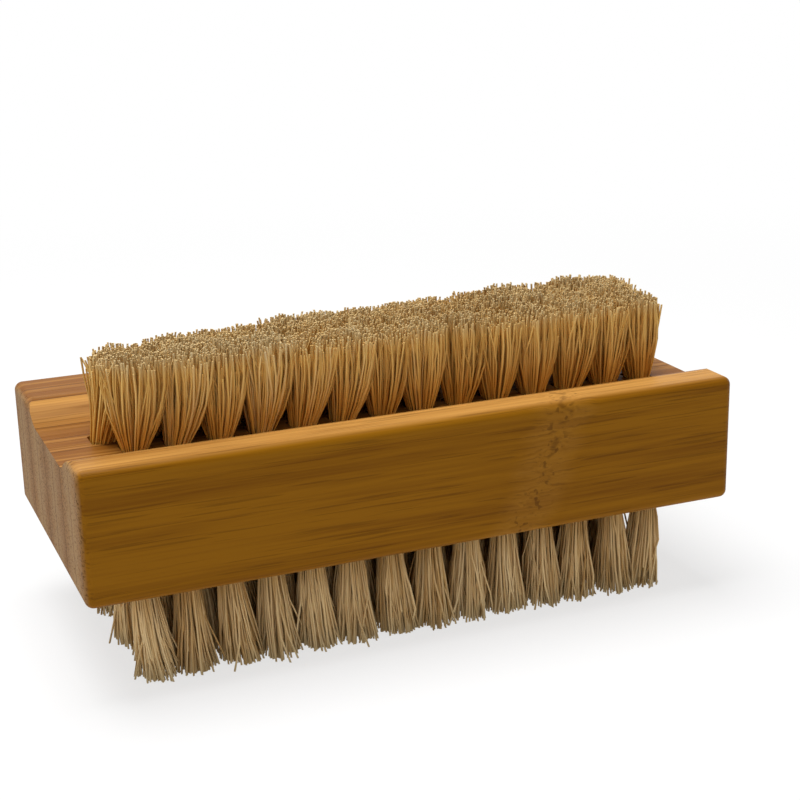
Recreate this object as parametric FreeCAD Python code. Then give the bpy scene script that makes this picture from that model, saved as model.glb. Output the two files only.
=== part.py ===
# Two-sided nail brush: a block glued up from bamboo strips, drilled on its top and
# its underside, with fibre tufts folded round flat-wire anchors in the sockets.
# X runs along the block, Y from the front to the back, and Z is up. The origin is
# under the middle of the block, on the surface that the lower tips stand on.
import FreeCAD
import Part
import math
import os

# Bamboo block
block_length = 96.5
block_height = 18.75
strip_thickness = 5.8
strip_count = 8
edge_round = 1.2
round_limit_share = 0.9

# Trough along the top, centred on its tufts, which leaves the front ridge narrow and
# the back ridge wide enough for a thumb
trough_depth = 2.5
trough_floor_margin = 0.8
front_ridge_width = 4.8

# Blind sockets in the trough and the underside, drawn with six flats
socket_half_width = 1.9
top_socket_depth = 6.5
bottom_socket_depth = 6.5

# Tuft rows, one to a strip, with every second row set over by half a pitch. The phase
# is where a tuft of a side's first row stands, past the middle of the block.
tuft_pitch = 6.0
top_end_margin = 7.75
top_first_strip = 2
top_row_count = 3
top_phase_share = 0.75
bottom_end_margin = 9.25
bottom_first_strip = 1
bottom_row_count = 6
bottom_phase_share = 0.5
count_slack_share = 0.01

# Upper tufts: free length at the crown, how much lower the outer rows and the row
# ends are, and how far the tips there lean out across and along the block
top_tuft_length = 13.7
top_side_drop = 0.8
top_end_drop = 1.2
top_side_lean = 1.0
top_end_lean = -0.6

# Lower tufts, trimmed level, with the row ends drawn in a little
bottom_tuft_length = 14.45
bottom_side_lean = 0.8
bottom_end_lean = -0.8

# Gap between the tips of neighbours, and the play of a tuft in its socket
tip_gap = 0.4
tuft_fit = 0.1

# Flat-wire anchors, standing on edge inside the fold of each tuft
anchor_height = 1.6
anchor_thickness = 0.4
anchor_fit = 0.05
fold_thickness = 1.4

overrun = 1.0

# Levels and widths that follow from the sizes above
half_length = block_length / 2
half_width = strip_count * strip_thickness / 2
block_bottom = bottom_tuft_length
ridge_level = block_bottom + block_height
floor_level = ridge_level - trough_depth


def strip_middle(index):
    return (index - (strip_count - 1) / 2) * strip_thickness


def flat_face(corners):
    return Part.Face(Part.makePolygon(corners + corners[:1]))


# The milling cut along the top: a flat floor that holds the top rows, with each side
# an ogee of two equal arcs that rises from the floor and levels out on the ridge.
def trough(top):
    floor_half = top.rows[-1] - top.middle + socket_half_width + trough_floor_margin
    run = top.middle + half_width - front_ridge_width - floor_half
    radius = (run ** 2 + trough_depth ** 2) / (4 * trough_depth)
    half_turn = math.atan2(trough_depth, run)
    across = radius * math.sin(half_turn)
    up = radius * (1 - math.cos(half_turn))

    def corner(side, inward, height):
        y = top.middle + side * (floor_half + run - inward)
        return FreeCAD.Vector(-half_length - overrun, y, ridge_level + height)

    edges = []
    for side in (-1, 1):
        foot = corner(side, run, -trough_depth)
        bend = corner(side, run / 2, -trough_depth / 2)
        crest = corner(side, 0, 0)
        edges.append(Part.Arc(foot, corner(side, run - across, up - trough_depth), bend).toShape())
        edges.append(Part.Arc(bend, corner(side, across, -up), crest).toShape())
        edges.append(Part.makeLine(crest, corner(side, 0, overrun)))
    edges.append(Part.makeLine(corner(-1, run, -trough_depth), corner(1, run, -trough_depth)))
    edges.append(Part.makeLine(corner(-1, 0, overrun), corner(1, 0, overrun)))
    section = Part.Face(Part.Wire(Part.__sortEdges__(edges)))
    return section.extrude(FreeCAD.Vector(block_length + 2 * overrun, 0, 0))


def plain_block(top):
    corner = FreeCAD.Vector(-half_length, -half_width, block_bottom)
    bar = Part.makeBox(block_length, 2 * half_width, block_height, corner)
    rounding = min(edge_round, front_ridge_width * round_limit_share)
    return bar.makeFillet(rounding, bar.Edges).cut(trough(top))


# A closed solid through rings of like outline, whose sides are all flat.
def tapered_solid(rings):
    faces = [flat_face(rings[0]), flat_face(rings[-1])]
    for low, high in zip(rings, rings[1:]):
        for side in range(len(low)):
            faces.append(flat_face([low[side - 1], low[side], high[side], high[side - 1]]))
    return Part.Solid(Part.Shell(faces))


# One tufted side of the brush. Heights are measured out from the wood: outward is 1
# on the top and -1 underneath, so a depth in the wood is a negative height.
class Side:
    def __init__(self, name, wood, outward, socket_depth):
        self.name = name
        self.wood = wood
        self.outward = outward
        self.socket_depth = socket_depth

    def set_rows(self, first_strip, row_count, end_margin, phase_share):
        self.rows = [strip_middle(first_strip + row) for row in range(row_count)]
        self.middle = (self.rows[0] + self.rows[-1]) / 2
        self.reach = half_length - end_margin
        self.phase_share = phase_share

    def set_tufts(self, length, side_drop, end_drop, side_lean, end_lean):
        self.length = length
        self.side_drop = side_drop
        self.end_drop = end_drop
        self.side_lean = side_lean
        self.end_lean = end_lean
        self.tip_pitch = tuft_pitch * (1 + end_lean / self.reach)
        self.tip_row_pitch = strip_thickness * (1 + side_lean / (self.rows[-1] - self.middle))
        self.tip_half = (self.tip_pitch - tip_gap) / 2

    # Places along a row, in as many pitches as its reach holds each way.
    def places(self, row):
        phase = self.phase_share - row % 2 / 2
        reach = self.reach / tuft_pitch + count_slack_share
        counts = range(math.ceil(-reach - phase), math.floor(reach - phase) + 1)
        return [(count + phase) * tuft_pitch for count in counts]

    def level(self, height):
        return self.wood + self.outward * height

    # The six-sided cell that a tip fills among its staggered neighbours, with flats
    # that face along X at the given half width.
    def ring(self, half_across, x, y, height):
        diagonal = math.hypot(self.tip_pitch / 2, self.tip_row_pitch)
        slanted = diagonal * (diagonal - tip_gap) / 2
        shoulder = (slanted - self.tip_half * self.tip_pitch / 2) / self.tip_row_pitch
        point = slanted / self.tip_row_pitch
        front = [(-self.tip_half, -shoulder), (0, -point), (self.tip_half, -shoulder)]
        cell = front + [(-across, -along) for across, along in front]
        scale = half_across / self.tip_half
        z = self.level(height)
        return [FreeCAD.Vector(x + across * scale, y + along * scale, z) for across, along in cell]

    def socket(self, x, y):
        bottom = self.ring(socket_half_width, x, y, -self.socket_depth)
        return tapered_solid([bottom, self.ring(socket_half_width, x, y, overrun)])

    # A bar across the socket, on top of the folded fibres.
    def cross_bar(self, x, y, play):
        height = anchor_height + 2 * play
        thickness = anchor_thickness + 2 * play
        middle = self.level(tuft_fit + fold_thickness + anchor_height / 2 - self.socket_depth)
        corner = FreeCAD.Vector(x - socket_half_width, y - thickness / 2, middle - height / 2)
        return Part.makeBox(2 * socket_half_width, thickness, height, corner)

    def anchor(self, x, y):
        return self.cross_bar(x, y, 0)

    # Straight in its socket, then flared to its tip, with a window for its anchor.
    def tuft(self, x, y):
        along = x / self.reach
        across = (y - self.middle) / (self.rows[-1] - self.middle)
        height = self.length - self.end_drop * along ** 2 - self.side_drop * across ** 2
        root_half = socket_half_width - tuft_fit
        rings = [
            self.ring(root_half, x, y, tuft_fit - self.socket_depth),
            self.ring(root_half, x, y, 0),
            self.ring(self.tip_half, x + self.end_lean * along, y + self.side_lean * across, height),
        ]
        return tapered_solid(rings).cut(self.cross_bar(x, y, anchor_fit))

    # One list of solids for each row, from the front to the back.
    def in_rows(self, make_piece):
        return [[make_piece(x, y) for x in self.places(row)] for row, y in enumerate(self.rows)]


def top_side():
    side = Side("top", floor_level, 1, top_socket_depth)
    side.set_rows(top_first_strip, top_row_count, top_end_margin, top_phase_share)
    side.set_tufts(top_tuft_length, top_side_drop, top_end_drop, top_side_lean, top_end_lean)
    return side


def bottom_side():
    side = Side("bottom", block_bottom, -1, bottom_socket_depth)
    side.set_rows(bottom_first_strip, bottom_row_count, bottom_end_margin, bottom_phase_share)
    side.set_tufts(bottom_tuft_length, 0, 0, bottom_side_lean, bottom_end_lean)
    return side


def strips(block):
    slices = []
    for index in range(strip_count):
        front = strip_middle(index) - strip_thickness / 2
        corner = FreeCAD.Vector(-half_length - overrun, front, block_bottom - overrun)
        size = (block_length + 2 * overrun, strip_thickness, block_height + 2 * overrun)
        slices.append(block.common(Part.makeBox(*size, corner)))
    return slices


def main():
    os.makedirs("parts", exist_ok=True)
    sides = [top_side(), bottom_side()]
    sockets = [socket for side in sides for row in side.in_rows(side.socket) for socket in row]
    for number, strip in enumerate(strips(plain_block(sides[0]).cut(sockets)), 1):
        strip.exportStep(f"parts/bamboo_strip_{number}.step")
    for side in sides:
        for number, tufts in enumerate(side.in_rows(side.tuft), 1):
            Part.makeCompound(tufts).exportStep(f"parts/{side.name}_tuft_row_{number}.step")
        for number, anchors in enumerate(side.in_rows(side.anchor), 1):
            Part.makeCompound(anchors).exportStep(f"parts/{side.name}_anchor_row_{number}.step")


main()
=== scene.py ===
import math

import bmesh
import bpy
from bpy.props import FloatProperty, FloatVectorProperty, IntProperty, PointerProperty
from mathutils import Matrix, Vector


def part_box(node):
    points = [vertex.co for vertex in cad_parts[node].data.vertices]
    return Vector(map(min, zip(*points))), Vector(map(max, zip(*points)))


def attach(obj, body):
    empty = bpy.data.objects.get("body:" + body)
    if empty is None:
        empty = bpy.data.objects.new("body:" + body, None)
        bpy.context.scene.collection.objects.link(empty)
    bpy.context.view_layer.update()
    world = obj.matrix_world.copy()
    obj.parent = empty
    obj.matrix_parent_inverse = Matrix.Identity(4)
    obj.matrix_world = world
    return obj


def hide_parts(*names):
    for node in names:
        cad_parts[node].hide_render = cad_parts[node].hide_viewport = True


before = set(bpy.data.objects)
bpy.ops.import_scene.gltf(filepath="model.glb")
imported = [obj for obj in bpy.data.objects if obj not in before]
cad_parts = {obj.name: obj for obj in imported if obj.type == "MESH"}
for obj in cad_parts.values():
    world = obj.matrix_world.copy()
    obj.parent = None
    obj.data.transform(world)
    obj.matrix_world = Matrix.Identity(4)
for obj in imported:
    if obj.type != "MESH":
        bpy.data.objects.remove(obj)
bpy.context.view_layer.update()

bl_info = {
    "name": "Nail brush",
    "version": (1, 0, 0),
    "blender": (4, 5, 0),
    "location": "View3D > Sidebar > Nail brush",
    "description": "Finishes a two-sided bamboo nail brush on its CAD frame",
    "category": "Object",
}

mm = 0.001

strips = sorted(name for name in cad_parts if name.startswith("bamboo_strip"))
upper_rows = sorted(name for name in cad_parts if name.startswith("top_tuft_row"))
lower_rows = sorted(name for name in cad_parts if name.startswith("bottom_tuft_row"))
anchor_rows = sorted(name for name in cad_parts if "anchor_row" in name)

# The faces that the tufts come out of, read from a strip wholly under the trough's floor
underside, trough_floor = (corner.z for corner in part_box("bamboo_strip_4"))

# For each strip from the front to the back: how pale it is, and its growth marks, each
# with its place along the block in millimetres and how far it slants for its height
strip_looks = {
    "bamboo_strip_1": (0.26, ((17.5, 0.4),)),
    "bamboo_strip_2": (0.10, ((-33.0, 0.1),)),
    "bamboo_strip_3": (-0.42, ((5.0, 0.0),)),
    "bamboo_strip_4": (-0.38, ((-12.0, 0.2),)),
    "bamboo_strip_5": (-0.44, ((31.0, -0.1),)),
    "bamboo_strip_6": (0.12, ((-24.0, 0.0),)),
    "bamboo_strip_7": (-0.44, ((12.0, 0.1),)),
    "bamboo_strip_8": (-0.48, ((-17.0, -0.3), (41.0, 0.2))),
}


def colour(code):
    """The scene's linear colour for an sRGB screen colour written as six hex digits."""
    parts = [int(code[i:i + 2], 16) / 255 for i in (0, 2, 4)]
    return [part / 12.92 if part < 0.04045 else ((part + 0.055) / 1.055) ** 2.4 for part in parts]


class Value:
    """A socket of a node tree, so that sums on it are written as Python expressions."""

    def __init__(self, graph, socket):
        self.graph = graph
        self.socket = socket

    def math(self, operation, first, second=0.0):
        made = self.graph.add("ShaderNodeMath", {"operation": operation}, {0: first, 1: second})
        return made["Value"]

    def __add__(self, other):
        return self.math("ADD", self, other)

    def __radd__(self, other):
        return self.math("ADD", other, self)

    def __sub__(self, other):
        return self.math("SUBTRACT", self, other)

    def __rsub__(self, other):
        return self.math("SUBTRACT", other, self)

    def __mul__(self, other):
        return self.math("MULTIPLY", self, other)

    def __rmul__(self, other):
        return self.math("MULTIPLY", other, self)

    def __truediv__(self, other):
        return self.math("DIVIDE", self, other)

    def __rtruediv__(self, other):
        return self.math("DIVIDE", other, self)

    def __pow__(self, other):
        return self.math("POWER", self, other)

    def __abs__(self):
        return self.math("ABSOLUTE", self)

    def at_least(self, other):
        return self.math("MAXIMUM", self, other)

    def at_most(self, other):
        return self.math("MINIMUM", self, other)

    def sine(self):
        return self.math("SINE", self)

    def cosine(self):
        return self.math("COSINE", self)

    def sign(self):
        return self.math("SIGN", self)

    def whole(self):
        return self.math("FLOOR", self)


class Graph:
    """Adds nodes to one tree."""

    def __init__(self, tree):
        self.tree = tree

    def add(self, kind, settings=None, sockets=None):
        """Adds a node, and returns its open outputs by name."""
        node = self.tree.nodes.new(kind)
        for name, value in (settings or {}).items():
            if name == "captures":
                for title, socket_type in value:
                    node.capture_items.new(socket_type, title)
            else:
                setattr(node, name, value)
        for key, value in (sockets or {}).items():
            socket = node.inputs[key] if isinstance(key, int) else self.open_input(node, key)
            if isinstance(value, Value):
                self.tree.links.new(value.socket, socket)
            else:
                socket.default_value = value
        return {s.name: Value(self, s) for s in reversed(node.outputs) if s.enabled}

    def open_input(self, node, name):
        return next(s for s in node.inputs if s.enabled and s.name == name)

    def vector(self, x, y, z):
        return self.add("ShaderNodeCombineXYZ", None, {"X": x, "Y": y, "Z": z})["Vector"]

    def parts(self, vector):
        made = self.add("ShaderNodeSeparateXYZ", None, {"Vector": vector})
        return made["X"], made["Y"], made["Z"]

    def joined(self, operation, first, second):
        made = self.add("ShaderNodeVectorMath", {"operation": operation}, {0: first, 1: second})
        return next(iter(made.values()))

    def mixed(self, factor, first, second, blend="MIX"):
        settings = {"data_type": "RGBA", "blend_type": blend, "clamp_factor": True}
        sockets = {"Factor": factor, "A": first, "B": second}
        return self.add("ShaderNodeMix", settings, sockets)["Result"]

    def step(self, value, low, high):
        """Rises smoothly from 0 to 1 between two values."""
        settings = {"interpolation_type": "SMOOTHSTEP"}
        limits = {"Value": value, "From Min": low, "From Max": high}
        return self.add("ShaderNodeMapRange", settings, limits)["Result"]

    def fall(self, value, low, high):
        """Falls smoothly from 1 to 0 between two values."""
        return 1.0 - self.step(value, low, high)

    def place(self):
        """Where on the piece a point is, in millimetres."""
        place = self.add("ShaderNodeTexCoord")["Object"]
        return self.joined("MULTIPLY", place, (1 / mm,) * 3)

    def noise(self, place, swells, detail=2.0):
        """Noise with so many swells to the millimetre along each axis."""
        place = self.joined("MULTIPLY", place, swells)
        sockets = {"Vector": place, "Scale": 1.0, "Detail": detail}
        return self.add("ShaderNodeTexNoise", None, sockets)["Fac"]

    def bump(self, height, strength, depth):
        """The normal of a surface with a relief of this height and depth."""
        sockets = {"Strength": strength, "Distance": depth, "Height": height}
        return self.add("ShaderNodeBump", None, sockets)["Normal"]


def new_material(name):
    material = bpy.data.materials.new(name)
    material.use_nodes = True
    material.node_tree.nodes.clear()
    return material, Graph(material.node_tree)


def opaque(colour_value):
    return (*colour_value, 1.0)


def finish_material(graph, sockets):
    surface = graph.add("ShaderNodeBsdfPrincipled", None, sockets)["BSDF"]
    graph.add("ShaderNodeOutputMaterial", None, {"Surface": surface})


def dress(name, material):
    """Gives a CAD node's object one material."""
    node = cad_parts[name]
    node.data.materials.clear()
    node.data.materials.append(material)


class WoodLook(bpy.types.PropertyGroup):
    pale: FloatVectorProperty(
        name="Pale wood", description="Pale streaks of the strips",
        subtype="COLOR", min=0, max=1, default=colour("BA8744"))
    deep: FloatVectorProperty(
        name="Deep wood", description="Darker streaks of the strips",
        subtype="COLOR", min=0, max=1, default=colour("7C4C18"))
    skin_pale: FloatVectorProperty(
        name="Pale skin", description="Pale streaks of the outer skin on the two long faces",
        subtype="COLOR", min=0, max=1, default=colour("905E0A"))
    skin_deep: FloatVectorProperty(
        name="Deep skin", description="Darker streaks of the outer skin on the two long faces",
        subtype="COLOR", min=0, max=1, default=colour("704203"))
    vessel: FloatVectorProperty(
        name="Vessels", description="Fine dark dashes along the grain, dots on the ends",
        subtype="COLOR", min=0, max=1, default=colour("462505"))
    end_grain: FloatVectorProperty(
        name="End grain", description="Tint of the sawn ends",
        subtype="COLOR", min=0, max=1, default=colour("A08058"))
    glue: FloatVectorProperty(
        name="Glue", description="Glue lines between the strips",
        subtype="COLOR", min=0, max=1, default=colour("4A2606"))
    glue_width: FloatProperty(
        name="Glue line", description="Width of a glue line", subtype="DISTANCE",
        min=0.0, default=0.25 * mm)
    gloss: FloatProperty(
        name="Oil gloss", description="Weight of the oiled coat", subtype="FACTOR",
        min=0.0, max=1.0, default=0.01)


class TuftLook(bpy.types.PropertyGroup):
    fibres: IntProperty(
        name="Fibres", description="Fibre ends in one tuft", min=1, max=240, default=240)
    width: FloatProperty(
        name="Fibre width", description="Width of a fibre at its root", subtype="DISTANCE",
        min=0.0, default=0.3 * mm)
    upper_root_share: FloatProperty(
        name="Upper root fill", description="Share of a socket's mouth that an upper tuft fills",
        subtype="FACTOR", min=0.0, max=1.0, default=0.96)
    lower_root_share: FloatProperty(
        name="Lower root fill", description="Share of a socket's mouth that a lower tuft fills",
        subtype="FACTOR", min=0.0, max=1.0, default=0.8)
    upper_overlap: FloatProperty(
        name="Upper overlap",
        description="How far the tips of neighbouring upper tufts reach into each other",
        subtype="DISTANCE", min=0.0, default=1.2 * mm)
    lower_overlap: FloatProperty(
        name="Lower overlap",
        description="How far the tips of neighbouring lower tufts reach into each other",
        subtype="DISTANCE", min=0.0, default=0.3 * mm)
    buried: FloatProperty(
        name="Buried length", description="Length of a fibre in its socket",
        subtype="DISTANCE", min=0.0, default=3.2 * mm)
    upper_flare: FloatProperty(
        name="Upper flare", description="How early the upper tufts spread out",
        min=0.5, default=2.5)
    lower_flare: FloatProperty(
        name="Lower flare", description="How early the lower tufts spread out",
        min=0.5, default=0.75)
    upper_dome: FloatProperty(
        name="Upper dome", description="How much shorter an upper tuft is at its rim",
        subtype="DISTANCE", min=0.0, default=0.8 * mm)
    lower_dome: FloatProperty(
        name="Lower dome", description="How much shorter a lower tuft is at its rim",
        subtype="DISTANCE", min=0.0, default=0.1 * mm)
    upper_uneven: FloatProperty(
        name="Upper uneven tips",
        description="How much the fibres of an upper tuft differ in length",
        subtype="DISTANCE", min=0.0, default=1.1 * mm)
    lower_uneven: FloatProperty(
        name="Lower uneven tips",
        description="How much the fibres of a lower tuft differ in length",
        subtype="DISTANCE", min=0.0, default=0.25 * mm)
    upper_lean: FloatProperty(
        name="Upper lean",
        description="How far the upper tips of the front row lean along the block",
        subtype="DISTANCE", default=0.8 * mm)
    lower_lean: FloatProperty(
        name="Lower lean",
        description="How far the lower tips of the front row lean along the block",
        subtype="DISTANCE", default=0.0)
    full_end: FloatProperty(
        name="Full end",
        description="Length along the block over which the tips rise to the crown",
        subtype="DISTANCE", default=20.0 * mm)
    sway: FloatProperty(
        name="Tuft sway", description="How far whole tufts lean at random to one side or the other",
        subtype="DISTANCE", min=0.0, default=0.8 * mm)
    waviness: FloatProperty(
        name="Waviness", description="How far a fibre wanders from its straight line",
        subtype="DISTANCE", min=0.0, default=0.5 * mm)
    upper_root: FloatVectorProperty(
        name="Upper roots", description="Lower part of the upper fibres",
        subtype="COLOR", min=0, max=1, default=colour("F8C05A"))
    upper_middle: FloatVectorProperty(
        name="Upper fibres", description="Middle part of the upper fibres",
        subtype="COLOR", min=0, max=1, default=colour("F2C874"))
    upper_tip: FloatVectorProperty(
        name="Upper tips", description="Cut ends of the upper fibres",
        subtype="COLOR", min=0, max=1, default=colour("DEC492"))
    lower_root: FloatVectorProperty(
        name="Lower roots", description="Part of the lower fibres next to the wood",
        subtype="COLOR", min=0, max=1, default=colour("C29C60"))
    lower_middle: FloatVectorProperty(
        name="Lower fibres", description="Middle part of the lower fibres",
        subtype="COLOR", min=0, max=1, default=colour("F0D098"))
    lower_tip: FloatVectorProperty(
        name="Lower tips", description="Cut ends of the lower fibres",
        subtype="COLOR", min=0, max=1, default=colour("DEC696"))


class StageLook(bpy.types.PropertyGroup):
    floor: FloatVectorProperty(
        name="Floor", description="Colour of the floor", subtype="COLOR", min=0, max=1,
        default=(0.8, 0.8, 0.8))
    sky: FloatProperty(
        name="Sky light", description="Strength of the even light from all round",
        min=0.0, default=0.475)
    lamp_power: FloatProperty(
        name="Lamp power", description="Power of the soft lamp overhead", unit="POWER",
        min=0.0, default=3.75)
    lens: FloatProperty(
        name="Lens", description="Focal length of the camera", min=1.0, default=72.09,
        subtype="DISTANCE_CAMERA")
    camera_place: FloatVectorProperty(
        name="Camera place", description="Where the camera stands", subtype="TRANSLATION",
        default=(-81.26 * mm, -212.89 * mm, 99.78 * mm))
    camera_turn: FloatVectorProperty(
        name="Camera turn", description="How the camera is turned", subtype="EULER",
        default=[math.radians(turn) for turn in (72.927, 1.230, -22.435)])


class BrushLook(bpy.types.PropertyGroup):
    wood: PointerProperty(type=WoodLook)
    tufts: PointerProperty(type=TuftLook)
    stage: PointerProperty(type=StageLook)


# Swells to the millimetre, along each axis, of the noises that the wood is drawn with
broad_streaks = (0.014, 0.42, 0.42)
fine_lines = (0.05, 2.6, 2.6)
vessel_dashes = (0.075, 3.6, 3.6)
grain_wander = (0.30, 0.45, 0.45)
mark_line = (0.0, 0.33, 0.33)
mark_specks = (0.9, 0.9, 0.9)
mark_patches = (0.5, 0.8, 0.8)

# Millimetres by which the grain is shifted from strip to strip, how far from a growth mark
# and how much the grain swells, and how much the mark's line swings to and fro
grain_shift = 17.3
swell_reach = 4.0
swell_height = 3.0
line_swing = 6.0

# Millimetres over which the skin, and the line, specks and halo of a growth mark, fade out
skin_fade = (0.25, 1.5)
line_fade = (0.2, 0.9)
speck_fade = (0.8, 3.4)
halo_fade = (2.0, 6.0)

# Values of a noise between which vessels, dots, specks and patches set in, how squarely a
# sawn end looks along the block, and shares of a glue line's width over which it fades out
vessel_edge = (0.58, 0.70)
dot_edge = (0.60, 0.68)
speck_edge = (0.60, 0.68)
patch_edge = (0.42, 0.62)
end_edge = (0.55, 0.95)
glue_fade = (0.15, 0.70)

# How much each shows in the colour of the wood
broad_contrast = 2.2
fine_contrast = 1.3
end_share = 0.85
crowded_shade = 0.5
crowded_dots = 0.09
dash_share = 0.32
dot_share = 0.4
halo_share = 0.25
line_share = 0.4
speck_share = 0.5
glue_share = 0.8

# How far the fine grain stands up, and the vessels and glue lines lie deep, in the relief
grain_rise = 0.6
vessel_dip = 0.5
glue_dip = 0.6
wood_relief = 0.12 * mm
wood_relief_strength = 0.35

# Roughness of the wood, what its grain, ends and vessels add to that, and its gloss
wood_roughness = 0.42
grain_roughness = 0.16
end_roughness = 0.2
vessel_roughness = 0.1
wood_specular = 0.05
oil_roughness = 0.3


def bamboo(name, look):
    """Wood of one strip, with its grain along X and its glue lines at its two sides."""
    pale_share, marks = strip_looks[name]
    number = strips.index(name)
    low, high = (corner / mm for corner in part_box(name))
    material, g = new_material(name.replace("_", " "))
    place = g.place()
    x, y, z = g.parts(place)

    # Growth marks, where the grain swells and wanders
    middle = (low.z + high.z) / 2
    aways = [x - (z - middle) * slant - mark for mark, slant in marks]
    near = sum(1.0 / (1.0 + (away / swell_reach) ** 2.0) ** 2.0 for away in aways)
    wander = (g.noise(place, grain_wander) - 0.5) * near * swell_height
    shift = grain_shift * number
    grain = g.vector(x + shift, y + wander + shift, z + wander)

    broad = g.noise(grain, broad_streaks, detail=3.0)
    fine = g.noise(grain, fine_lines, detail=3.0)
    dash = g.noise(grain, vessel_dashes, detail=1.0)
    vessels = g.step(dash, *vessel_edge)
    shade = (broad - 0.5) * broad_contrast + (fine - 0.5) * fine_contrast + 0.5 + pale_share
    wood = g.mixed(shade, opaque(look.deep), opaque(look.pale))

    # The outer strips keep the bamboo's skin on the block's long faces
    glue_sides = []
    for depth, outer in ((y - low.y, strips[0]), (high.y - y, strips[-1])):
        if name == outer:
            skin = g.mixed(shade, opaque(look.skin_deep), opaque(look.skin_pale))
            wood = g.mixed(g.fall(depth, *skin_fade), wood, skin)
        else:
            glue_sides.append(depth)

    # Sawn ends: greyer, with the vessels cut across and crowded to one side of the strip,
    # which is the other side in the next strip
    facing = abs(g.parts(g.add("ShaderNodeNewGeometry")["Normal"])[0])
    ends = g.step(facing, *end_edge)
    crowd = g.step if number % 2 else g.fall
    crowded = crowd(y, low.y, high.y)
    end_shade = crowded * crowded_shade + (broad - 0.5)
    end_wood = g.mixed(end_shade, opaque(look.end_grain), opaque(look.deep))
    wood = g.mixed(ends * end_share, wood, end_wood)
    dots = g.step(dash + crowded_dots * crowded, *dot_edge)
    dark = vessels * dash_share + ends * dots * dot_share
    wood = g.mixed(dark, wood, opaque(look.vessel))

    # A growth mark: a wandering dark line with specks about it and a pale halo
    line = g.noise(place, mark_line) - 0.5
    specks = g.step(g.noise(place, mark_specks, detail=1.0), *speck_edge)
    patches = g.step(g.noise(place, mark_patches, detail=1.0), *patch_edge)
    for away in aways:
        off = abs(away - line * line_swing)
        halo = g.fall(off, *halo_fade) * fine * halo_share
        ring = g.fall(off, *line_fade) * patches * line_share
        about = g.fall(off, *speck_fade) * specks * speck_share
        wood = g.mixed(halo, wood, opaque(look.pale))
        wood = g.mixed(ring.at_least(about), wood, opaque(look.vessel))

    glue_limits = [share * look.glue_width / mm for share in glue_fade]
    glue = sum(g.fall(depth, *glue_limits) for depth in glue_sides)
    wood = g.mixed(glue * glue_share, wood, opaque(look.glue))

    height = fine * grain_rise - vessels * vessel_dip - glue * glue_dip
    rough = wood_roughness + grain_roughness * (fine - 0.5)
    rough = rough + end_roughness * ends + vessel_roughness * vessels
    finish_material(g, {
        "Base Color": wood, "Roughness": rough,
        "Normal": g.bump(height, wood_relief_strength, wood_relief),
        "Specular IOR Level": wood_specular, "Coat Weight": look.gloss,
        "Coat Roughness": oil_roughness})
    return material


# The anchors' wire: swells of its draw marks to the millimetre, its tints and its relief, its
# roughness and what the draw marks add to that
draw_marks = (0.3, 9.0, 9.0)
dull_wire = colour("8E8A82")
bright_wire = colour("C9C5BC")
wire_relief = 0.02 * mm
wire_relief_strength = 0.2
wire_roughness = 0.28
draw_roughness = 0.2


def anchor_wire():
    """Flat drawn wire, with its draw marks along X."""
    material, g = new_material("anchor wire")
    drawn = g.noise(g.place(), draw_marks)
    metal = g.mixed(drawn, opaque(dull_wire), opaque(bright_wire))
    finish_material(g, {
        "Base Color": metal, "Roughness": wire_roughness + draw_roughness * drawn, "Metallic": 1.0,
        "Normal": g.bump(drawn, wire_relief_strength, wire_relief)})
    return material


# Shares of a fibre's length where its root colour gives way and its tip colour sets in, and
# tones at which the darkest fibres end and the palest begin
root_fade = (0.05, 0.55)
tip_edge = (0.72, 1.0)
dark_fade = (0.0, 0.55)
pale_edge = (0.6, 1.0)

# What the darkest fibres are multiplied by, and how far the palest are drawn to straw
dark_fibre = colour("D8C8AE")
pale_straw = colour("F0E2BE")
straw_share = 0.25

# Gloss of a fibre, the roughness of the darkest, and how much rougher the palest are
fibre_specular = 0.12
fibre_roughness = 0.5
pale_roughness = 0.2


def plant_fibre(name, root, middle, tip):
    """Straw-coloured fibre, read from how far along a fibre a point is and its tone."""
    material, g = new_material(name)

    def stored(title):
        settings = {"attribute_type": "GEOMETRY", "attribute_name": title}
        return g.add("ShaderNodeAttribute", settings)["Fac"]

    along, tone = stored("fibre_along"), stored("fibre_tone")
    fibre = g.mixed(g.step(along, *root_fade), opaque(root), opaque(middle))
    fibre = g.mixed(g.step(along, *tip_edge), fibre, opaque(tip))
    dark = g.mixed(1.0, fibre, opaque(dark_fibre), "MULTIPLY")
    pale = g.mixed(straw_share, fibre, opaque(pale_straw))
    fibre = g.mixed(g.step(tone, *dark_fade), dark, fibre)
    fibre = g.mixed(g.step(tone, *pale_edge), fibre, pale)
    finish_material(g, {
        "Base Color": fibre, "Roughness": fibre_roughness + pale_roughness * tone,
        "Specular IOR Level": fibre_specular})
    return material


# The form of one fibre, and how much thicker it is at its tip
fibre_sides = 3
fibre_rings = 6
tip_thickening = 0.1

# Powers by which a tuft is domed towards its rim and the lengths of its fibres are spread,
# and how much whole tufts differ in length, beside their fibres
dome_power = 2.5
trim_power = 1.5
tuft_trim_share = 0.9

# Luck from which a fibre is broken short, and by what share of its length, and luck from
# which it strays, and how many times more it then sways
broken_edge = (0.93, 1.0)
broken_share = 0.22
stray_edge = (0.86, 1.0)
stray_sway = 3.0

# Radians that a fibre's wave turns through, and what luck adds to them
wave_turn = 2.0
more_wave_turn = 3.0

# The share of a fibre's tone that it has from its tuft, which with the upper seed also
# paints light falling off from left to right across the upper tufts
tuft_tone_share = 0.35

# The flat map of the fibres: its columns and bands, the share of a column that a fibre takes
# to each side, the margin of a band, and the radians that a fibre's section is turned by
# before it is laid flat, so that no side of it lies edge-on
map_columns = 216
map_bands = 16
map_half = 0.4
map_margin = 0.04
map_turn = 0.35


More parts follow.
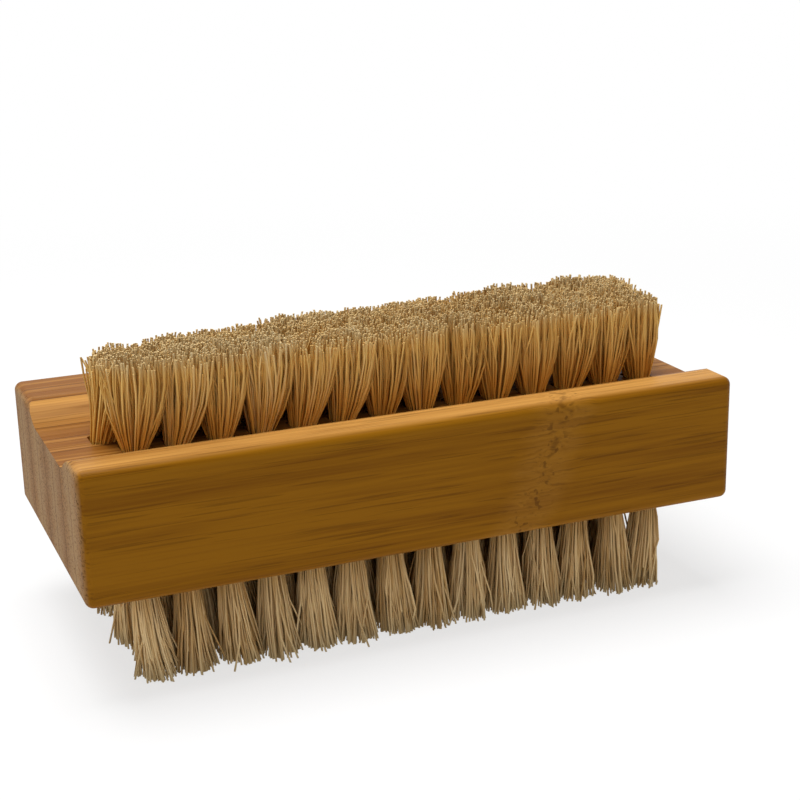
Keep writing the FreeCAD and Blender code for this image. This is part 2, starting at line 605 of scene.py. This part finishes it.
def fibre_tree(name, material):
    """Geometry nodes that fan a bundle of fibres out of each point, up to its tip."""
    tree = bpy.data.node_groups.new(name, "GeometryNodeTree")
    kinds = {
        "Tufts": "Geometry", "Fibres": "Int", "Fibre width": "Float", "Root fill": "Float",
        "Buried length": "Float", "Flare": "Float", "Dome": "Float", "Uneven tips": "Float",
        "Tuft sway": "Float", "Waviness": "Float", "Seed": "Int"}
    for title, kind in kinds.items():
        tree.interface.new_socket(title, in_out="INPUT", socket_type=f"NodeSocket{kind}")
    tree.interface.new_socket("Fibres", in_out="OUTPUT", socket_type="NodeSocketGeometry")
    g = Graph(tree)
    given = g.add("NodeGroupInput")

    def held(title):
        settings = {"data_type": "FLOAT_VECTOR"}
        return g.add("GeometryNodeInputNamedAttribute", settings, {"Name": title})["Attribute"]

    def chance(offset):
        index = g.add("GeometryNodeInputIndex")["Index"]
        limits = {"Min": (0.0,) * 3, "Max": (1.0,) * 3, "ID": index, "Seed": given["Seed"] + offset}
        return g.add("FunctionNodeRandomValue", {"data_type": "FLOAT_VECTOR"}, limits)["Value"]

    def kept(geometry, values):
        settings = {"domain": "POINT", "captures": [(title, "VECTOR") for title in values]}
        return g.add("GeometryNodeCaptureAttribute", settings, {"Geometry": geometry, **values})

    def changed(geometry, kind, sockets, settings=None):
        return g.add(kind, settings, {"Geometry": geometry, **sockets})["Geometry"]

    def stored(geometry, title, value, data_type, domain):
        settings = {"data_type": data_type, "domain": domain}
        sockets = {"Name": title, "Value": value}
        return changed(geometry, "GeometryNodeStoreNamedAttribute", sockets, settings)

    # Tufts, each with its own luck, then its fibres, each with theirs
    tufts = kept(given["Tufts"], {
        "Root": g.add("GeometryNodeInputPosition")["Position"], "Tip": held("tip"),
        "Mouth": held("mouth"), "Spread": held("spread"), "Tuft luck": chance(1)})
    copies = {"Geometry": tufts["Geometry"], "Amount": given["Fibres"]}
    points = g.add("GeometryNodeDuplicateElements", {"domain": "POINT"}, copies)["Geometry"]
    index = g.add("GeometryNodeInputIndex")["Index"]
    fibres = kept(points, {
        "Place": chance(2), "Luck": chance(3), "More luck": chance(4),
        "Number": g.vector(index, 0.0, 0.0)})

    # One fibre of unit length and radius, with few sides
    upright = {"Start": (0, 0, 0), "End": (0, 0, 1)}
    line = g.add("GeometryNodeCurvePrimitiveLine", None, upright)["Curve"]
    line = g.add("GeometryNodeResampleCurve", None, {"Curve": line, "Count": fibre_rings})["Curve"]
    around = {"Resolution": fibre_sides, "Radius": 1.0}
    outline = g.add("GeometryNodeCurvePrimitiveCircle", None, around)["Curve"]
    sides = {"Curve": line, "Profile Curve": outline, "Fill Caps": True}
    form = g.add("GeometryNodeCurveToMesh", None, sides)["Mesh"]
    form = kept(form, {"Form": g.add("GeometryNodeInputPosition")["Position"]})
    bundle = {"Points": fibres["Geometry"], "Instance": form["Geometry"]}
    bundle = g.add("GeometryNodeInstanceOnPoints", None, bundle)["Instances"]
    mesh = changed(bundle, "GeometryNodeRealizeInstances", {})

    across, aside, share = g.parts(form["Form"])
    root_x, root_y, root_z = g.parts(tufts["Root"])
    tip_x, tip_y, tip_z = g.parts(tufts["Tip"])
    mouth_x, mouth_y, _ = g.parts(tufts["Mouth"])
    mouth_x, mouth_y = mouth_x * given["Root fill"], mouth_y * given["Root fill"]
    spread_x, spread_y, _ = g.parts(tufts["Spread"])
    tuft_turn, tuft_tone, tuft_trim = g.parts(tufts["Tuft luck"])
    turn, out, tone = g.parts(fibres["Place"])
    trim, phase, bow = g.parts(fibres["Luck"])
    stray, short, twist = g.parts(fibres["More luck"])

    # Where the fibre stands in its tuft, spread evenly, and how long it is
    out = out ** 0.5
    disc_x = out * (turn * math.tau).cosine()
    disc_y = out * (turn * math.tau).sine()
    reach = abs(tip_z - root_z)
    uneven = given["Uneven tips"] * (trim ** trim_power + tuft_trim_share * tuft_trim)
    broken = g.step(short, *broken_edge) * broken_share * reach
    length = reach - given["Dome"] * out ** dome_power - uneven - broken

    # Its line: straight in the socket, then fanned out, with a slow wave
    height = share * (length + given["Buried length"]) - given["Buried length"]
    rise = (height / reach).at_least(0.0).at_most(1.0)
    fan = 1.0 - (1.0 - rise) ** given["Flare"]
    loose = 1.0 + stray_sway * g.step(stray, *stray_edge)
    wave = given["Waviness"] * rise * loose
    sway_x = wave * (phase * math.tau + rise * (wave_turn + more_wave_turn * bow)).sine()
    sway_y = wave * (bow * math.tau + rise * (wave_turn + more_wave_turn * phase)).sine()
    tuft_sway = (tuft_turn * 2.0 - 1.0) * given["Tuft sway"] * fan
    fan_x = fan * (tip_x - root_x + disc_x * (spread_x - mouth_x))
    fan_y = fan * (tip_y - root_y + disc_y * (spread_y - mouth_y))
    place_x = root_x + disc_x * mouth_x + fan_x + sway_x + tuft_sway
    place_y = root_y + disc_y * mouth_y + fan_y + sway_y
    outward = (tip_z - root_z).sign()

    # Its sides, turned at random, and mirrored with the side of the block that it grows on
    half = given["Fibre width"] * 0.5 * (1.0 + tip_thickening * rise)
    cos_twist, sin_twist = (twist * math.tau).cosine(), (twist * math.tau).sine()
    side_x = (across * cos_twist - aside * sin_twist) * half * outward
    side_y = (across * sin_twist + aside * cos_twist) * half
    place = g.vector(place_x + side_x, place_y + side_y, root_z + outward * height)
    mesh = changed(mesh, "GeometryNodeSetPosition", {"Position": place})
    mesh = changed(mesh, "GeometryNodeSetShadeSmooth", {"Shade Smooth": True})

    # What its material reads: how far along it a point is, and its tone
    tone = (1.0 - tuft_tone_share) * tone + tuft_tone_share * tuft_tone
    mesh = stored(mesh, "fibre_along", rise, "FLOAT", "POINT")
    mesh = stored(mesh, "fibre_tone", tone, "FLOAT", "POINT")

    # A flat map with a column for each fibre, in bands
    number = g.parts(fibres["Number"])[0]
    band = (number / map_columns).whole()
    column = number - band * map_columns
    slant = across * math.cos(map_turn) + aside * math.sin(map_turn)
    map_x = (column + 0.5 + map_half * slant) / map_columns
    map_y = (band + map_margin + (1.0 - 2.0 * map_margin) * share) / map_bands
    mesh = stored(mesh, "OFBake", g.vector(map_x, map_y, 0.0), "FLOAT2", "CORNER")

    mesh = changed(mesh, "GeometryNodeRealizeInstances", {})
    mesh = changed(mesh, "GeometryNodeSetMaterial", {"Material": material})
    g.add("NodeGroupOutput", None, {"Fibres": mesh})
    return tree


# Points of a CAD mesh nearer than the first are one, and within the second are level
weld_distance = 0.002 * mm
level_slack = 0.05 * mm

# The share of the way to the field's end that end tufts fan out, how far before the middle
# of the block the tips begin to rise to the crown, as a share of the length that they rise
# over, and how much more each row leans than the row before it
end_fan = 0.8
crown_lead = 0.25
lean_gain = 0.7


def tuft_solids(name):
    """The corner points of each separate solid of a CAD row, from its left-hand end."""
    row = bmesh.new()
    row.from_mesh(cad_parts[name].data)
    bmesh.ops.remove_doubles(row, verts=row.verts, dist=weld_distance)
    left = set(row.verts)
    solids = []
    while left:
        solid, edge = set(), {left.pop()}
        while edge:
            solid |= edge
            edge = {e.other_vert(v) for v in edge for e in v.link_edges} - solid
        left -= solid
        solids.append([v.co.copy() for v in solid])
    row.free()
    return sorted(solids, key=lambda points: min(point.x for point in points))


def middle_and_reach(low, high):
    return (low + high) / 2, (high - low) / 2


def extent(points):
    low = Vector([min(point[axis] for point in points) for axis in range(3)])
    high = Vector([max(point[axis] for point in points) for axis in range(3)])
    return low, high


def tuft_seeds(rows, name, wood, outward, overlap, lean, full_end):
    """A mesh with a point where each tuft leaves the wood, with its mouth, tip and spread."""
    solids = tuft_solids(name)
    field_low, field_high = extent([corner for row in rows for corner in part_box(row)])
    crown = field_high.z if outward > 0 else field_low.z
    roots, held = [], {"mouth": [], "tip": [], "spread": []}
    for number, points in enumerate(solids):
        first, last = number == 0, number == len(solids) - 1
        heights = [outward * point.z for point in points]
        near, far = min(heights) + level_slack, max(heights) - level_slack
        foot, mouth = middle_and_reach(*extent([p for p in points if outward * p.z < near]))
        low, high = extent([p for p in points if outward * p.z > far])
        # Tips reach into their neighbours, but not out of the field of tufts
        low -= Vector((overlap * (not first), overlap * (name != rows[0]), 0))
        high += Vector((overlap * (not last), overlap * (name != rows[-1]), 0))
        # The end tufts of a row that is set over fan out to the end of the field
        if first:
            low.x += (field_low.x - low.x) * end_fan
        if last:
            high.x += (field_high.x - high.x) * end_fan
        tip, spread = middle_and_reach(low, high)
        # Tips rise to the crown towards the full end, and in the front row all along
        least = 1.0 if name == rows[0] else 0.0
        tip.z += (crown - tip.z) * min(max(tip.x / full_end + crown_lead, least), 1.0)
        tip.x += lean * (1.0 + lean_gain * rows.index(name))
        roots.append((foot.x, foot.y, wood))
        for title, value in (("mouth", mouth), ("tip", tip), ("spread", spread)):
            held[title].extend(value)
    mesh = bpy.data.meshes.new(f"{name} seeds")
    mesh.from_pydata(roots, [], [])
    for title, values in held.items():
        mesh.attributes.new(title, "FLOAT_VECTOR", "POINT").data.foreach_set("vector", values)
    return mesh


def plant_row(context, name, tree, seeds, inputs):
    """Grows the fibres of one CAD tuft row and puts them in its place."""
    row = bpy.data.objects.new(name.replace("tuft", "fibre"), seeds)
    context.scene.collection.objects.link(row)
    grow = row.modifiers.new("fibres", "NODES")
    grow.node_group = tree
    sockets = {s.name: s.identifier for s in tree.interface.items_tree if s.in_out == "INPUT"}
    for title, value in inputs.items():
        grow[sockets[title]] = value
    depsgraph = context.evaluated_depsgraph_get()
    grown = bpy.data.meshes.new_from_object(row.evaluated_get(depsgraph), depsgraph=depsgraph)
    if not grown.polygons:
        raise RuntimeError(f"no fibres grew on {name}")
    row.modifiers.remove(grow)
    grown.name = row.name
    row.data = grown
    bpy.data.meshes.remove(seeds)
    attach(row, "root")
    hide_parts(name)


# Seeds of the front rows, and how far apart those of neighbouring rows are. The upper one was
# picked from 1499 for tufts that are paler at the left than at the right, as in the photo:
# painted light, the tufts' random tones standing in for light that falls off from left to right.
upper_seed_painting_light = 442
lower_seed = 500
row_seed_step = 10


def plant_field(context, rows, tree, first_seed, growth, own_inputs):
    """Grows the fibres of every tuft row on one side of the block."""
    look = context.scene.nail_brush.tufts
    inputs = {
        "Fibres": look.fibres, "Fibre width": look.width, "Buried length": look.buried,
        "Tuft sway": look.sway, "Waviness": look.waviness, **own_inputs}
    for number, name in enumerate(rows):
        inputs["Seed"] = first_seed + row_seed_step * number
        seeds = tuft_seeds(rows, name, *growth, look.full_end)
        plant_row(context, name, tree, seeds, inputs)


class NAILBRUSH_OT_bamboo_strips(bpy.types.Operator):
    """Finish the glued bamboo strips of the block"""
    bl_idname = "nail_brush.bamboo_strips"
    bl_label = "Bamboo strips"

    def execute(self, context):
        for name in strips:
            dress(name, bamboo(name, context.scene.nail_brush.wood))
        return {"FINISHED"}


class NAILBRUSH_OT_wire_anchors(bpy.types.Operator):
    """Finish the flat-wire anchors in the sockets"""
    bl_idname = "nail_brush.wire_anchors"
    bl_label = "Wire anchors"

    def execute(self, context):
        wire = anchor_wire()
        for name in anchor_rows:
            dress(name, wire)
        return {"FINISHED"}


class NAILBRUSH_OT_upper_tufts(bpy.types.Operator):
    """Grow the fibres of the upper tufts, in the trough"""
    bl_idname = "nail_brush.upper_tufts"
    bl_label = "Upper tufts"

    def execute(self, context):
        look = context.scene.nail_brush.tufts
        fibre = plant_fibre("upper fibre", look.upper_root, look.upper_middle, look.upper_tip)
        tree = fibre_tree("upper tufts", fibre)
        growth = (trough_floor, 1, look.upper_overlap, look.upper_lean)
        # The upper seed paints light into the tufts' tones: paler at the left, darker at the right
        plant_field(context, upper_rows, tree, upper_seed_painting_light, growth, {
            "Root fill": look.upper_root_share, "Flare": look.upper_flare,
            "Dome": look.upper_dome, "Uneven tips": look.upper_uneven})
        return {"FINISHED"}


class NAILBRUSH_OT_lower_tufts(bpy.types.Operator):
    """Grow the fibres of the lower tufts, which the brush stands on"""
    bl_idname = "nail_brush.lower_tufts"
    bl_label = "Lower tufts"

    def execute(self, context):
        look = context.scene.nail_brush.tufts
        fibre = plant_fibre("lower fibre", look.lower_root, look.lower_middle, look.lower_tip)
        tree = fibre_tree("lower tufts", fibre)
        growth = (underside, -1, look.lower_overlap, look.lower_lean)
        plant_field(context, lower_rows, tree, lower_seed, growth, {
            "Root fill": look.lower_root_share, "Flare": look.lower_flare,
            "Dome": look.lower_dome, "Uneven tips": look.lower_uneven})
        return {"FINISHED"}


# The floor, in metres: half its width, the light that it gives the brush, and the white seen
# on it close to the brush, which is full white from the second distance on
floor_half = 6.0
floor_glow = 0.2
near_white = 0.7
white_edge = (0.08, 0.35)

# The lamp's width, its place and the point that it faces, and how near the camera sees
lamp_size = 0.4
lamp_place = (-0.08, 0.05, 0.55)
lamp_aim = (0.0, 0.0, 0.03)
nearest_seen = 0.01


def seen_directly(graph):
    """1 for the camera, mirrors and glass, 0 for light that falls on the brush."""
    path = graph.add("ShaderNodeLightPath")
    seen = path["Is Camera Ray"].at_least(path["Is Glossy Ray"])
    return seen.at_least(path["Is Transmission Ray"])


def blended(graph, share, first, second):
    """Two shaders mixed by the share of the second."""
    return graph.add("ShaderNodeMixShader", None, {0: share, 1: first, 2: second})["Shader"]


def floor_material(look):
    """Matt floor that shows white round the brush's shadow and is clear from below."""
    material, g = new_material("pale floor")
    matt = g.add("ShaderNodeBsdfDiffuse", None, {"Color": opaque(look.floor)})["BSDF"]
    white = g.add("ShaderNodeEmission", None, {"Strength": 1.0})["Emission"]
    away = g.joined("LENGTH", g.add("ShaderNodeTexCoord")["Object"], (0, 0, 0))
    plain = near_white + (1.0 - near_white) * g.step(away, *white_edge)
    above = blended(g, floor_glow + seen_directly(g) * (plain - floor_glow), matt, white)
    below = g.add("ShaderNodeBsdfTransparent")["BSDF"]
    surface = blended(g, g.add("ShaderNodeNewGeometry")["Backfacing"], above, below)
    g.add("ShaderNodeOutputMaterial", None, {"Surface": surface})
    return material


def make_floor(scene, look):
    corners = [(-1, -1), (1, -1), (1, 1), (-1, 1)]
    mesh = bpy.data.meshes.new("floor")
    mesh.from_pydata([(x * floor_half, y * floor_half, 0) for x, y in corners], [], [(0, 1, 2, 3)])
    mesh.materials.append(floor_material(look))
    floor = bpy.data.objects.new("floor", mesh)
    scene.collection.objects.link(floor)


def make_sky(scene, look):
    world = bpy.data.worlds.new("studio")
    world.use_nodes = True
    world.node_tree.nodes.clear()
    scene.world = world
    g = Graph(world.node_tree)
    sky = g.add("ShaderNodeBackground", None, {"Strength": look.sky})["Background"]
    plain = {"Color": (1, 1, 1, 1), "Strength": 1.0}
    white = g.add("ShaderNodeBackground", None, plain)["Background"]
    surface = blended(g, seen_directly(g), sky, white)
    g.add("ShaderNodeOutputWorld", None, {"Surface": surface})


def make_lamp(scene, look):
    light = bpy.data.lights.new("overhead lamp", "AREA")
    light.shape = "DISK"
    light.size = lamp_size
    light.energy = look.lamp_power
    lamp = bpy.data.objects.new("overhead lamp", light)
    lamp.location = lamp_place
    aim = Vector(lamp_aim) - lamp.location
    lamp.rotation_euler = aim.to_track_quat("-Z", "Y").to_euler()
    scene.collection.objects.link(lamp)


def make_camera(scene, look):
    lens = bpy.data.cameras.new("camera")
    lens.lens = look.lens
    lens.clip_start = nearest_seen
    camera = bpy.data.objects.new("camera", lens)
    camera.location = look.camera_place
    camera.rotation_euler = look.camera_turn
    scene.collection.objects.link(camera)
    scene.camera = camera


class NAILBRUSH_OT_stage(bpy.types.Operator):
    """Set up the floor, the light and the camera"""
    bl_idname = "nail_brush.stage"
    bl_label = "Stage"

    def execute(self, context):
        scene = context.scene
        scene.view_settings.view_transform = "Standard"
        for make in (make_floor, make_sky, make_lamp, make_camera):
            make(scene, scene.nail_brush.stage)
        return {"FINISHED"}


class NAILBRUSH_PT_pieces(bpy.types.Panel):
    """Lists the steps that finish the brush, in order"""
    bl_idname = "NAILBRUSH_PT_pieces"
    bl_label = "Nail brush"
    bl_space_type = "VIEW_3D"
    bl_region_type = "UI"
    bl_category = "Nail brush"

    def draw(self, context):
        for step in steps:
            self.layout.operator(step.bl_idname)
        for group in ("wood", "tufts", "stage"):
            look = getattr(context.scene.nail_brush, group)
            box = self.layout.box()
            for name in look.bl_rna.properties.keys():
                if name not in {"rna_type", "name"}:
                    box.prop(look, name)


steps = (
    NAILBRUSH_OT_bamboo_strips, NAILBRUSH_OT_wire_anchors, NAILBRUSH_OT_upper_tufts,
    NAILBRUSH_OT_lower_tufts, NAILBRUSH_OT_stage)
classes = (WoodLook, TuftLook, StageLook, BrushLook, *steps, NAILBRUSH_PT_pieces)


def register():
    for cls in classes:
        bpy.utils.register_class(cls)
    bpy.types.Scene.nail_brush = PointerProperty(type=BrushLook)


def unregister():
    del bpy.types.Scene.nail_brush
    for cls in reversed(classes):
        bpy.utils.unregister_class(cls)


def main():
    register()
    bpy.ops.nail_brush.bamboo_strips()
    bpy.ops.nail_brush.wire_anchors()
    bpy.ops.nail_brush.upper_tufts()
    bpy.ops.nail_brush.lower_tufts()
    bpy.ops.nail_brush.stage()


if __name__ == "__main__":
    main()
